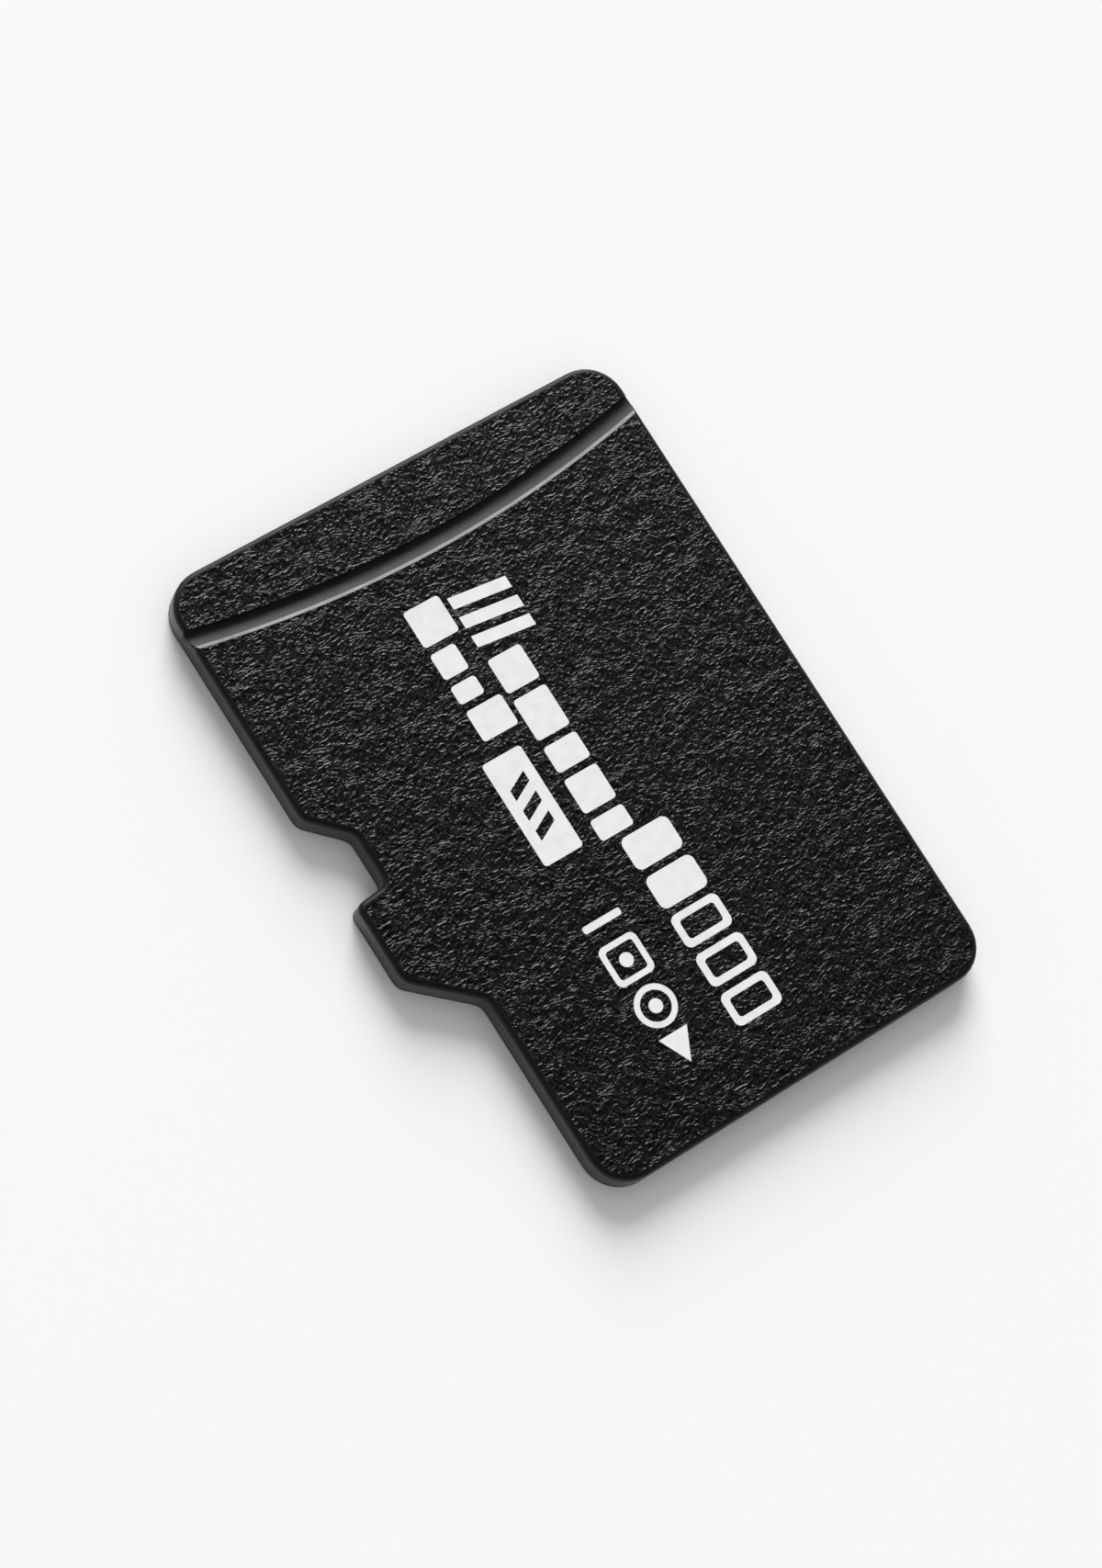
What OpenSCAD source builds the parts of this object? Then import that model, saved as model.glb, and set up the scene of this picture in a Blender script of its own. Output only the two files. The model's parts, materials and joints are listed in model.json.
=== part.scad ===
// A thin removable memory card: a black overmoulded body on a small circuit laminate,
// with eight gold contacts below and its chips, wires and passives sealed inside.
// The card lies on its contact face. +Y is the end that goes into the socket,
// +X is the side with the notches, and the origin is the middle of the underside.

/* [Card outline] */
// Length of the card from grip end to insertion end
card_len = 15; // [14:0.1:18]
// Width of the card at its grip end
card_w = 11; // [10.8:0.1:13]
// Thickness of the card
card_t = 0.7; // [0.68:0.01:1]
// Width of the narrow front part
front_w = 9.7; // [9.6:0.05:9.9]
// Radius of the four large corners
corner_r = 0.85; // [0.5:0.05:1.2]
// Radius of the corners at the notch and the shoulder
small_r = 0.4; // [0.25:0.05:0.45]
// Radius of the corners at the lock face of the notch
lock_r = 0.2; // [0.15:0.01:0.25]

/* [Notch and shoulder] */
// Distance from the grip end to the start of the notch
notch_y = 5.45; // [4:0.05:6]
// Depth of the notch
notch_depth = 0.8; // [0.6:0.05:0.9]
// Length of the sloped side of the notch
notch_ramp = 0.78; // [0.6:0.02:1]
// Length of the straight floor of the notch
notch_floor = 1.17; // [1:0.01:2]
// Slant of the lock face along the card
lock_slant = 0.08; // [0:0.01:0.2]
// Length of the full-width land between notch and shoulder
land_len = 1.77; // [1.5:0.01:2.5]
// Length of the shoulder slant along the card
shoulder_len = 1.15; // [0.9:0.05:1.4]

/* [Edges] */
// Radius of the rounded top edge
rim_r = 0.12; // [0.06:0.01:0.14]
// Height of the bevel around the underside
bevel = 0.05; // [0.03:0.01:0.08]

/* [Grip groove] */
// Radius of the groove's arc at its steep side
groove_r = 26.5; // [22:0.5:40]
// Distance from the grip end to the groove at the middle of the card
groove_y = 1.56; // [1.4:0.02:2]
// Depth of the groove
groove_depth = 0.13; // [0.08:0.01:0.15]
// Width of the groove's hollow
groove_hollow = 0.42; // [0.35:0.01:0.5]
// Radius of the crest where the hollow ends
crest_r = 0.05; // [0.03:0.01:0.08]
// Lean of the steep side
groove_lean = 0.03; // [0.01:0.01:0.08]

/* [Laminate] */
// Thickness of the solder mask under the card
mask_t = 0.02; // [0.015:0.005:0.03]
// Thickness of the laminate core
core_t = 0.14; // [0.1:0.01:0.15]
// Thickness of the copper
copper_t = 0.015; // [0.01:0.001:0.015]
// Thickness of the solder mask over the top copper
cover_t = 0.01; // [0.006:0.001:0.012]
// Distance of the top solder mask from the card's edge
cover_setback = 0.3; // [0.2:0.05:0.4]
// Width of a copper trace
trace_w = 0.06; // [0.05:0.01:0.08]

/* [Contacts] */
// Distance from one contact to the next
contact_pitch = 1.1; // [1.05:0.01:1.12]
// Width of a contact
contact_w = 0.8; // [0.7:0.01:0.85]
// Length of a contact
contact_len = 2.9; // [2.6:0.1:3.2]
// Distance from the front edge to a signal contact
contact_inset = 1.1; // [1:0.05:1.3]
// How much further forward the two power contacts reach
power_reach = 0.3; // [0.2:0.05:0.4]
// Radius of a contact's corners
contact_r = 0.15; // [0.05:0.01:0.25]
// Distance from a contact's back end to its plated hole
via_inset = 1.2; // [0.8:0.1:1.6]
// Diameter of a plated hole through the laminate
via_d = 0.2; // [0.15:0.01:0.25]

/* [Memory chips] */
// Width of a memory chip
chip_w = 7.6; // [7:0.1:7.8]
// Gap between the memory chips and the controller's bond fingers
chip_clear = 0.32; // [0.25:0.01:0.6]
// Thickness of a memory chip
chip_t = 0.04; // [0.03:0.005:0.045]
// Thickness of an adhesive film under a chip
film_t = 0.01; // [0.008:0.001:0.012]
// Step from one chip to the next
chip_step = 0.25; // [0.22:0.01:0.26]
// Distance from the grip end to the lowest chip
chip_y = 1.95; // [1.9:0.05:2.1]
// Number of wires from each memory chip
chip_wires = 10; // [4:1:12]
// Distance from the side of a memory chip to its first wire
chip_wire_edge = 1.1; // [0.9:0.05:1.5]

/* [Controller] */
// Width of the controller chip
control_w = 2.6; // [2.4:0.1:3]
// Length of the controller chip
control_len = 2.1; // [1.8:0.1:2.2]
// Thickness of the controller chip
control_t = 0.12; // [0.08:0.01:0.15]
// Distance from the front edge to the controller chip
control_inset = 0.95; // [0.9:0.05:1.1]

/* [Bond wires] */
// Thickness of a bond wire
wire_t = 0.025; // [0.02:0.005:0.03]
// Rise of a wire above the pad where it starts
wire_rise = 0.05; // [0.04:0.005:0.06]
// Distance from a chip's edge to its first wire
wire_inset = 0.08; // [0.07:0.005:0.09]
// Width of a bond finger
finger_w = 0.12; // [0.08:0.01:0.14]
// Length of a bond finger
finger_len = 0.25; // [0.2:0.01:0.3]
// Distance from one controller finger to the next
finger_pitch = 0.25; // [0.22:0.01:0.26]
// Gap from a chip to its bond fingers
finger_gap = 0.28; // [0.24:0.01:0.3]

/* [Passives] */
// Length of a small capacitor or resistor
passive_len = 0.6; // [0.5:0.05:0.7]
// Width of a small capacitor or resistor
passive_w = 0.3; // [0.25:0.01:0.35]
// Height of a small capacitor
passive_t = 0.28; // [0.2:0.01:0.3]
// Height of a resistor
resistor_t = 0.2; // [0.15:0.01:0.25]
// Length of the large capacitor
big_len = 1; // [0.9:0.05:1.2]
// Width of the large capacitor
big_w = 0.5; // [0.4:0.02:0.55]
// Height of the large capacitor
big_t = 0.3; // [0.25:0.01:0.32]
// Gap between the memory chips and the large capacitor
big_gap = 0.6; // [0.4:0.05:0.65]
// Distance from the side of the front part to the small ones
passive_edge = 0.85; // [0.7:0.05:0.9]
// Distance from the front edge to the middle of the first small ones
passive_inset = 0.95; // [0.8:0.05:1.1]
// Distance from one small one to the next
passive_pitch = 0.6; // [0.5:0.05:0.7]
// Share of a passive's length that one end cap takes
cap_share = 0.25; // [0.2:0.01:0.3]

/* [Print] */
// Thickness of the white ink, which fills the grain of the top up to its ridges
ink_t = 0.01; // [0.005:0.001:0.015]
// Width of an ink line
ink_line = 0.16; // [0.12:0.01:0.2]
// Distance from the straight side to the foot of the title
title_x = 5.88; // [5.5:0.01:6]
// Distance from the grip end to the title
title_y = 2.97; // [2.8:0.01:3.2]
// Height of the title's emblem
title_cap = 1.35; // [1.1:0.05:1.5]
// Distance from the straight side to the foot of the subtitle
subtitle_x = 6.87; // [6.8:0.01:7]
// Distance from the grip end to the subtitle
subtitle_y = 2.8; // [2.6:0.01:3]
// Height of the subtitle's first block
subtitle_cap = 0.86; // [0.7:0.01:0.9]
// Gap between two blocks of ink
block_gap = 0.17; // [0.14:0.01:0.2]
// Width of the white field
field_w = 0.95; // [0.8:0.01:1]
// Length of the white field
field_len = 2.42; // [2:0.01:2.5]
// Distance from the grip end to the white field
field_y = 6.3; // [6.2:0.01:6.5]
// Distance from the straight side to the middle of the gauge
gauge_x = 4.98; // [4.6:0.01:5.1]
// Distance from the grip end to the gauge
gauge_y = 9; // [8.9:0.01:9.2]
// Width of a cell of the gauge
gauge_w = 1.17; // [1:0.01:1.2]
// Length of a cell of the gauge
gauge_cell = 0.76; // [0.6:0.01:0.8]
// Distance from the straight side to the middle of the marks
marks_x = 6.8; // [6.7:0.01:6.9]
// Distance from the grip end to the marks
marks_y = 10.22; // [10:0.01:10.4]
// Size of a mark
mark_size = 0.92; // [0.8:0.01:1]

/* [Hidden] */

contact_count = 8;
chip_count = 4;
arc_steps = 8;
rim_steps = 5;
bend_steps = 5;
round_fn = 32;
over = 0.2;
sink = 0.02;

core_z = mask_t;
core_top = core_z + core_t;
copper_top = core_top + copper_t;
cover_top = copper_top + cover_t;
top_z = card_t;

half_w = card_w / 2;
half_len = card_len / 2;
front_x = front_w - half_w;
notch_x = half_w - notch_depth;
notch_a = notch_y - half_len;
notch_b = notch_a + notch_ramp;
notch_c = notch_b + notch_floor;
notch_d = notch_c + lock_slant;
land_end = notch_d + land_len;
shoulder_end = land_end + shoulder_len;
CORNERS = [
    [[-half_w, -half_len], corner_r],
    [[half_w, -half_len], corner_r],
    [[half_w, notch_a], small_r],
    [[notch_x, notch_b], small_r],
    [[notch_x, notch_c], lock_r],
    [[half_w, notch_d], lock_r],
    [[half_w, land_end], small_r],
    [[front_x, shoulder_end], small_r],
    [[front_x, half_len], corner_r],
    [[-half_w, half_len], corner_r]
];

// Middle of the narrow front part, on which the contacts and the controller are centred
front_mid = (front_x - half_w) / 2;
contact_x0 = front_mid - (contact_count - 1) / 2 * contact_pitch;
contact_front = half_len - contact_inset;
contact_back = contact_front - contact_len;
via_y = contact_back + via_inset;
POWER = [4, 6];

control_y1 = half_len - control_inset;
control_y0 = control_y1 - control_len;
control_top = cover_top + film_t + control_t;
back_finger_y = control_y0 - finger_gap - finger_len / 2;
front_finger_y = control_y1 + finger_gap;

// The memory chips fill the length between their wires and the controller's
chip_x0 = front_mid - chip_w / 2;
chip_y0 = chip_y - half_len;
chip_y1 = back_finger_y - finger_len / 2 - chip_clear;
chip_len = chip_y1 - chip_y0 - (chip_count - 1) * chip_step;
chip_rise = film_t + chip_t;
chip_wire_pitch = (chip_w - 2 * chip_wire_edge) / (chip_wires - 1);
chip_finger_y = chip_y0 - finger_gap - finger_len / 2;
bend_y = chip_y1 - chip_wire_pitch;

// Unit vector from a to b
function unit(a, b) = (b - a) / norm(b - a);

// Turn to the left by a quarter
function left(v) = [-v[1], v[0]];

// Point where the lines through corner i, both moved inward, cross
function inset_corner(i, inset) =
    let (
        n = len(CORNERS),
        p = CORNERS[i][0],
        a = unit(CORNERS[(i + n - 1) % n][0], p),
        b = unit(p, CORNERS[(i + 1) % n][0]),
        bisector = left(a) + left(b)
    )
    p + bisector * inset * 2 / (bisector * bisector);

// Arc that rounds corner i after the outline has moved inward
function corner_arc(i, inset) =
    let (
        n = len(CORNERS),
        p = inset_corner(i, inset),
        a = unit(CORNERS[(i + n - 1) % n][0], CORNERS[i][0]),
        b = unit(CORNERS[i][0], CORNERS[(i + 1) % n][0]),
        side = sign(a[0] * b[1] - a[1] * b[0]),
        r = CORNERS[i][1] - side * inset,
        turn = acos(a * b),
        start = p - a * r * tan(turn / 2),
        centre = start + left(a) * r * side,
        from = atan2(start[1] - centre[1], start[0] - centre[0])
    )
    [for (k = [0 : arc_steps]) let (t = from + side * turn * k / arc_steps)
        centre + r * [cos(t), sin(t)]];

// The card's rounded outline, moved inward by a distance
function outline(inset) = [for (i = [0 : len(CORNERS) - 1]) each corner_arc(i, inset)];

// Closed solid through the outline at each [inset, z] level
module slab(levels) {
    rings = [for (level = levels) [for (p = outline(level[0])) [p[0], p[1], level[1]]]];
    n = len(rings[0]);
    last = (len(levels) - 1) * n;
    sides = [for (j = [0 : len(levels) - 2]) for (i = [0 : n - 1])
        [j * n + i, (j + 1) * n + i, (j + 1) * n + (i + 1) % n, j * n + (i + 1) % n]];
    floor_face = [for (i = [0 : n - 1]) i];
    roof_face = [for (i = [n - 1 : -1 : 0]) last + i];
    polyhedron([for (ring = rings) each ring], concat([floor_face], sides, [roof_face]), 8);
}

// Side of a line of width w at point i, where the neighbouring stretches meet in a mitre
function mitre(path, i, w) =
    let (
        n = len(path),
        a = unit(path[max(i - 1, 0)], path[max(i, 1)]),
        b = unit(path[min(i, n - 2)], path[min(i + 1, n - 1)]),
        bisector = left(a) + left(b)
    )
    path[i] + bisector * w / (bisector * bisector);

// Outline of a line of width w along a path
function strip(path, w) = concat(
    [for (i = [0 : len(path) - 1]) mitre(path, i, w)],
    [for (i = [len(path) - 1 : -1 : 0]) mitre(path, i, -w)]
);

// Rectangle with rounded corners around the origin
module rounded(size, r) {
    for (x = [-1, 1]) for (y = [-1, 1])
        translate([x * (size[0] / 2 - r), y * (size[1] / 2 - r)]) circle(r, $fn = round_fn);
    square([size[0] - 2 * r, size[1]], center = true);
    square([size[0], size[1] - 2 * r], center = true);
}

// Body and edges

// Groove across the grip end: a steep side, and a hollow that rises to a rounded crest
module groove_cut() {
    base = top_z - groove_depth;
    inner = groove_r + groove_lean;
    crest = inner + groove_hollow;
    slope = 2 * atan(groove_depth / groove_hollow);
    hollow_r = groove_depth / (1 - cos(slope)) - crest_r;
    section = concat(
        [[groove_r, top_z + over], [groove_r, top_z]],
        [for (k = [0 : bend_steps]) let (t = slope * k / bend_steps)
            [inner + hollow_r * sin(t), base + hollow_r * (1 - cos(t))]],
        [for (k = [1 : bend_steps]) let (t = slope * (1 - k / bend_steps))
            [crest - crest_r * sin(t), top_z - crest_r * (1 - cos(t))]],
        [[crest, top_z + over]]
    );
    spread = asin(half_w / groove_r) + 3;
    translate([0, groove_y - half_len - groove_r])
        rotate(90 - spread)
            rotate_extrude(angle = 2 * spread, $fn = 360) polygon(section);
}

// Whole card with the rounded rim, before the moulding is cut off at the laminate
module blank() {
    slab(concat([[0, 0]], [for (k = [0 : rim_steps]) let (t = 90 * k / rim_steps)
        [rim_r * (1 - cos(t)), top_z - rim_r * (1 - sin(t))]]));
}

module laminate_room() {
    translate([-card_w, -card_len, -over]) cube([2 * card_w, 2 * card_len, core_top + over]);
}

module mould_body() {
    color([0.05, 0.05, 0.055]) difference() {
        blank();
        laminate_room();
        groove_cut();
        inner_rooms();
        print_room();
    }
}

module laminate_core() {
    color([0.08, 0.09, 0.08]) difference() {
        slab([[bevel - mask_t, core_z], [0, bevel], [0, core_top]]);
        plated_holes();
    }
}

module contact_mask() {
    color([0.03, 0.04, 0.035]) difference() {
        slab([[bevel, 0], [bevel - mask_t, mask_t]]);
        for (i = [1 : contact_count])
            translate([0, 0, -over]) linear_extrude(mask_t + 2 * over) contact_shape(i);
    }
}

// Top solder mask over the copper, open above the bond fingers and the solder lands
module cover_mask() {
    color([0.02, 0.16, 0.08]) difference() {
        translate([0, 0, core_top]) linear_extrude(cover_top - core_top) polygon(outline(cover_setback));
        top_copper();
        translate([0, 0, copper_top]) linear_extrude(over) {
            fingers();
            lands();
        }
    }
}

// Contacts

function contact_x(i) = contact_x0 + (i - 1) * contact_pitch;

module contact_shape(i) {
    reach = len(search(i, POWER)) > 0 ? power_reach : 0;
    translate([contact_x(i), contact_back + (contact_len + reach) / 2])
        rounded([contact_w, contact_len + reach], contact_r);
}

module contact(i) {
    color([0.86, 0.68, 0.3]) translate([0, 0, mask_t - copper_t])
        linear_extrude(copper_t) contact_shape(i);
}

module plated_holes() {
    color([0.75, 0.4, 0.2]) for (i = [1 : contact_count])
        translate([contact_x(i), via_y, core_z]) cylinder(core_t, d = via_d, $fn = round_fn);
}

// Top copper

function chip_finger_x(i) = front_mid + (i - (chip_wires - 1) / 2) * chip_wire_pitch;
function back_finger_x(i) = front_mid + (i - (chip_wires - 1) / 2) * finger_pitch;
function front_finger_x(i) = front_mid + (i - (contact_count + 1) / 2) * finger_pitch;

module fingers() {
    for (i = [0 : chip_wires - 1]) {
        translate([chip_finger_x(i), chip_finger_y]) square([finger_w, finger_len], center = true);
        translate([back_finger_x(i), back_finger_y]) square([finger_w, finger_len], center = true);
    }
    for (i = [1 : contact_count])
        translate([front_finger_x(i), front_finger_y]) square([finger_w, finger_len], center = true);
}

module traces() {
    for (i = [0 : chip_wires - 1])
        polygon(strip([
            [chip_finger_x(i), chip_finger_y], [chip_finger_x(i), bend_y],
            [back_finger_x(i), back_finger_y - finger_len], [back_finger_x(i), back_finger_y]
        ], trace_w));
    for (i = [1 : contact_count]) {
        polygon(strip([
            [contact_x(i), via_y], [front_finger_x(i), front_finger_y - finger_len],
            [front_finger_x(i), front_finger_y]
        ], trace_w));
        translate([contact_x(i), via_y]) circle(d = via_d * 1.5, $fn = round_fn);
    }
}

module top_copper() {
    color([0.8, 0.5, 0.25]) translate([0, 0, core_top]) linear_extrude(copper_t) union() {
        traces();
        fingers();
        lands();
    }
}

// Chips

module memory_chip(k) {
    color([0.25, 0.26, 0.3])
        translate([chip_x0, chip_y0 + k * chip_step, cover_top + film_t + k * chip_rise])
            cube([chip_w, chip_len, chip_t]);
}

module chip_film(k) {
    color([0.8, 0.75, 0.6])
        translate([chip_x0, chip_y0 + k * chip_step, cover_top + k * chip_rise])
            cube([chip_w, chip_len, film_t]);
}

module controller_chip() {
    color([0.3, 0.3, 0.36]) translate([front_mid - control_w / 2, control_y0, cover_top + film_t])
        cube([control_w, control_len, control_t]);
}

module controller_film() {
    color([0.8, 0.75, 0.6]) translate([front_mid - control_w / 2, control_y0, cover_top])
        cube([control_w, control_len, film_t]);
}

// Bond wires

// One wire across x, from a pad up, over and down to a lower pad, both given as [y, z];
// depth is how far its feet go into the pads, for the room that the moulding leaves
module wire(x, from, to, depth) {
    step = to[0] > from[0] ? 1 : -1;
    path = [
        from - [0, depth], from + [0, wire_rise],
        [to[0] - step * wire_rise, from[1] + wire_rise],
        [to[0], max(from[1], to[1] + wire_rise / 2)], to - [0, depth]
    ];
    translate([x - wire_t / 2, 0]) rotate([90, 0, 90]) linear_extrude(wire_t) polygon(strip(path, wire_t));
}

// Each memory chip is wired down to the one below it, and the lowest to its fingers
module memory_wires(depth = 0) {
    color([0.9, 0.72, 0.3]) for (i = [0 : chip_wires - 1]) for (k = [0 : chip_count - 1]) {
        y = chip_y0 + k * chip_step;
        z = cover_top + (k + 1) * chip_rise;
        lower = k == 0
            ? [chip_finger_y, copper_top]
            : [y - chip_step + 2 * wire_inset, z - chip_rise];
        wire(chip_finger_x(i), [y + wire_inset, z], lower, depth);
    }
}

module controller_wires(depth = 0) {
    color([0.9, 0.72, 0.3]) {
        for (i = [0 : chip_wires - 1])
            wire(back_finger_x(i), [control_y0 + wire_inset, control_top],
                [back_finger_y, copper_top], depth);
        for (i = [1 : contact_count])
            wire(front_finger_x(i), [control_y1 - wire_inset, control_top],
                [front_finger_y, copper_top], depth);
    }
}

// Passives

// Each entry is [x, y, length, width, height]; the first three are capacitors
passive_x = (front_w - passive_len) / 2 - passive_edge;
passive_y = half_len - passive_inset;
PASSIVES = [
    [front_mid + passive_x, passive_y - passive_pitch, passive_len, passive_w, passive_t],
    [front_mid + passive_x, passive_y, passive_len, passive_w, passive_t],
    [chip_x0 + chip_w + big_gap + big_w / 2, chip_y0 + big_len, big_w, big_len, big_t],
    [front_mid - passive_x, passive_y - passive_pitch, passive_len, passive_w, resistor_t],
    [front_mid - passive_x, passive_y, passive_len, passive_w, resistor_t]
];
CAPACITORS = [0, 1, 2];
RESISTORS = [3, 4];

// Footprint of a passive between two shares of its longer side
module passive_foot(p, from, to) {
    along_y = p[3] > p[2];
    size = along_y ? [p[2], p[3] * (to - from)] : [p[2] * (to - from), p[3]];
    shift = along_y ? [0, p[3] * from] : [p[2] * from, 0];
    translate([p[0] - p[2] / 2 + shift[0], p[1] - p[3] / 2 + shift[1]]) square(size);
}

module passive_bodies(list) {
    for (i = list) translate([0, 0, cover_top]) linear_extrude(PASSIVES[i][4])
        passive_foot(PASSIVES[i], cap_share, 1 - cap_share);
}

module passive_ends(list) {
    for (i = list) for (end = [[0, cap_share], [1 - cap_share, 1]])
        translate([0, 0, cover_top]) linear_extrude(PASSIVES[i][4])
            passive_foot(PASSIVES[i], end[0], end[1]);
}

module capacitor_bodies() {
    color([0.55, 0.42, 0.3]) passive_bodies(CAPACITORS);
}

module capacitor_ends() {
    color([0.75, 0.75, 0.75]) passive_ends(CAPACITORS);
}

module resistor_bodies() {
    color([0.12, 0.12, 0.14]) passive_bodies(RESISTORS);
}

module resistor_ends() {
    color([0.75, 0.75, 0.75]) passive_ends(RESISTORS);
}

module solder_joints() {
    color([0.7, 0.7, 0.68]) translate([0, 0, copper_top]) linear_extrude(cover_t) lands();
}

module lands() {
    for (p = PASSIVES) for (end = [[0, cap_share], [1 - cap_share, 1]])
        passive_foot(p, end[0], end[1]);
}

// Room in the underside of the moulding for all that it flows around

module cover_room() {
    difference() {
        translate([0, 0, core_top - over]) linear_extrude(cover_top - core_top + over)
            polygon(outline(cover_setback));
        translate([0, 0, copper_top]) linear_extrude(over) fingers();
    }
}

// Stair-shaped block that the stack of memory chips and films fills
module stack_room() {
    rise = [for (k = [0 : chip_count - 1]) each [
        [chip_y0 + k * chip_step, cover_top + k * chip_rise - (k == 0 ? sink : 0)],
        [chip_y0 + k * chip_step, cover_top + (k + 1) * chip_rise]
    ]];
    fall = [for (i = [len(rise) - 1 : -1 : 0]) rise[i] + [chip_len, 0]];
    translate([chip_x0, 0]) rotate([90, 0, 90]) linear_extrude(chip_w) polygon(concat(rise, fall));
}

module controller_room() {
    translate([front_mid - control_w / 2, control_y0, cover_top - sink])
        cube([control_w, control_len, film_t + control_t + sink]);
}

module passive_rooms() {
    for (p = PASSIVES)
        translate([0, 0, cover_top - sink]) linear_extrude(p[4] + sink) passive_foot(p, 0, 1);
}

module inner_rooms() {
    cover_room();
    stack_room();
    controller_room();
    passive_rooms();
    memory_wires(sink);
    controller_wires(sink);
}

// Print

// Ink at a distance from the straight side and from the grip end, level with the top;
// above is how far it reaches past the top, for the room that the moulding leaves
module ink(x, y, above) {
    color("white") translate([x - half_w, y - half_len, top_z - ink_t])
        linear_extrude(ink_t + above) children();
}

// Length along a row up to block i
function run(sizes, i) = i == 0 ? 0 : run(sizes, i - 1) + sizes[i - 1][1] + block_gap;

// Row of blocks along the card with their feet in line, each given as [height, length]
module blocks(sizes) {
    for (i = [0 : len(sizes) - 1])
        translate([-sizes[i][0] / 2, run(sizes, i) + sizes[i][1] / 2]) rounded(sizes[i], ink_line / 2);
}

// Emblem of slanted stripes with its foot at the origin
module emblem(size) {
    stripe = size / 5;
    pitch = 1.7 * stripe;
    slant = size - stripe - 2 * pitch;
    for (k = [0 : 2]) translate([0, k * pitch])
        polygon([[0, 0], [0, stripe], [-size, stripe + slant], [-size, slant]]);
}

module print_title(above = 0) {
    small = title_cap * 0.6;
    lengths = [small, 1.2 * small, 0.75 * small, small, 0.6 * small];
    ink(title_x, title_y, above) emblem(title_cap);
    ink(title_x, title_y + title_cap + block_gap, above) blocks([for (l = lengths) [small, l]]);
}

module print_subtitle(above = 0) {
    cap = subtitle_cap;
    small = cap * 0.7;
    ink(subtitle_x, subtitle_y, above)
        blocks([[cap, cap], [small, small], [small, 0.7 * small], [cap, 1.2 * small]]);
}

// A white field with slanted cuts
module print_field(above = 0) {
    cut_w = field_w / 2;
    cut_len = field_w / 4;
    ink(subtitle_x - field_w * 0.15, field_y + field_len / 2, above) difference() {
        rounded([field_w, field_len], ink_line / 2);
        for (k = [-1 : 1]) translate([-cut_w / 2, k * 2 * cut_len - cut_len])
            polygon([[0, 0], [cut_w, cut_len], [cut_w, 2 * cut_len], [0, cut_len]]);
    }
}

// Five cells in a row, the first ones full
module print_gauge(above = 0) {
    for (i = [0 : 4])
        ink(gauge_x, gauge_y + gauge_cell / 2 + i * (gauge_cell + block_gap), above) difference() {
            rounded([gauge_w, gauge_cell], ink_line);
            if (i > 1) rounded([gauge_w - 2 * ink_line, gauge_cell - 2 * ink_line], ink_line / 2);
        }
}

// A short bar, a square with a dot, and a ring with a dot
module print_marks(above = 0) {
    dot = mark_size / 3;
    line = ink_line * 0.8;
    square_y = marks_y + mark_size;
    ring_y = square_y + mark_size + block_gap;
    ink(marks_x, marks_y, above) rounded([mark_size, ink_line], ink_line / 3);
    ink(marks_x, square_y, above) difference() {
        rounded([mark_size, mark_size], ink_line);
        rounded([mark_size - 2 * line, mark_size - 2 * line], ink_line / 2);
    }
    ink(marks_x, ring_y, above) difference() {
        circle(d = mark_size, $fn = round_fn);
        circle(d = mark_size - 2 * line, $fn = round_fn);
    }
    for (y = [square_y, ring_y]) ink(marks_x, y, above) circle(d = dot, $fn = round_fn);
}

// Points to the end that goes in first
module print_arrow(above = 0) {
    arrow_y = marks_y + 2.5 * mark_size + 2 * block_gap;
    ink(marks_x, arrow_y, above)
        polygon([[-mark_size * 0.38, 0], [mark_size * 0.38, 0], [0, mark_size * 0.75]]);
}

module print_room() {
    print_title(over);
    print_subtitle(over);
    print_field(over);
    print_gauge(over);
    print_marks(over);
    print_arrow(over);
}

mould_body();
laminate_core();
contact_mask();
cover_mask();
contact(1);  // contact_1
contact(2);  // contact_2
contact(3);  // contact_3
contact(4);  // contact_4
contact(5);  // contact_5
contact(6);  // contact_6
contact(7);  // contact_7
contact(8);  // contact_8
plated_holes();
top_copper();
memory_chip(0);  // memory_chip_1
memory_chip(1);  // memory_chip_2
memory_chip(2);  // memory_chip_3
memory_chip(3);  // memory_chip_4
chip_film(0);  // chip_film_1
chip_film(1);  // chip_film_2
chip_film(2);  // chip_film_3
chip_film(3);  // chip_film_4
memory_wires();
controller_chip();
controller_film();
controller_wires();
capacitor_bodies();
capacitor_ends();
resistor_bodies();
resistor_ends();
solder_joints();
print_title();
print_subtitle();
print_field();
print_gauge();
print_marks();
print_arrow();
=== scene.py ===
"""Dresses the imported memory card: grained moulding, flat sheets, finishes, studio light and camera."""
import json
import math

import bpy
import numpy as np
from mathutils import Matrix, Vector, noise
from mathutils.bvhtree import BVHTree
from mathutils.geometry import delaunay_2d_cdt


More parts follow.
